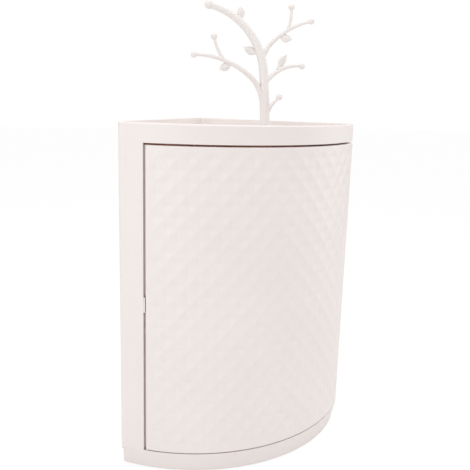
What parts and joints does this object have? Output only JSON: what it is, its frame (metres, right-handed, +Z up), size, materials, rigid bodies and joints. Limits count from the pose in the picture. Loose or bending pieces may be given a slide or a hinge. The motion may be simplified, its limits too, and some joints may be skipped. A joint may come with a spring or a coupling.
{
  "type": "rotating countertop organizer",
  "caption": "Quarter-round countertop organizer with a diamond-relief curved door that swings out with its tiered trays about a back-corner post, and a small jewellery tree on top.",
  "frame": {"origin": "on the floor at the centre of the footprint's bounding box", "axes": "+Z up, -Y towards the middle of the curved front, +X to the viewer's right"},
  "size_m": [0.2246, 0.1612, 0.4025],
  "materials": {
    "shell": "satin warm white moulding",
    "tray": "satin warm white moulding",
    "tree": "satin warm white moulding",
    "steel": "plain bright rod",
    "ballast": "zinc-plated plate",
    "nylon": "natural nylon",
    "rubber": "soft light grey",
    "flock": "short flock on foam"
  },
  "bodies": {
    "case": {"case_shell": "shell", "base_housing": "shell", "bottom_cover": "shell", "ballast_plate": "ballast", "feet": "rubber", "pivot_post": "steel", "post_bushes": "nylon", "post_screw": "steel", "top_cover": "shell", "tree_foot": "tree", "tree_main_stem": "tree", "tree_side_stem": "tree"},
    "rotor": {"door_panel": "shell", "side_panel": "shell", "tray_1": "tray", "tray_2": "tray", "tray_3": "tray", "tray_4": "tray", "tray_5": "tray", "stop_pin": "steel", "ring_insert": "flock"}
  },
  "joints": [
    {"name": "rotor_swing", "type": "hinge", "parent": "case", "child": "rotor", "pos_m": [0, 0.072, 0.15], "axis": [0, 0, 1], "range_deg": [0, 90]}
  ]
}
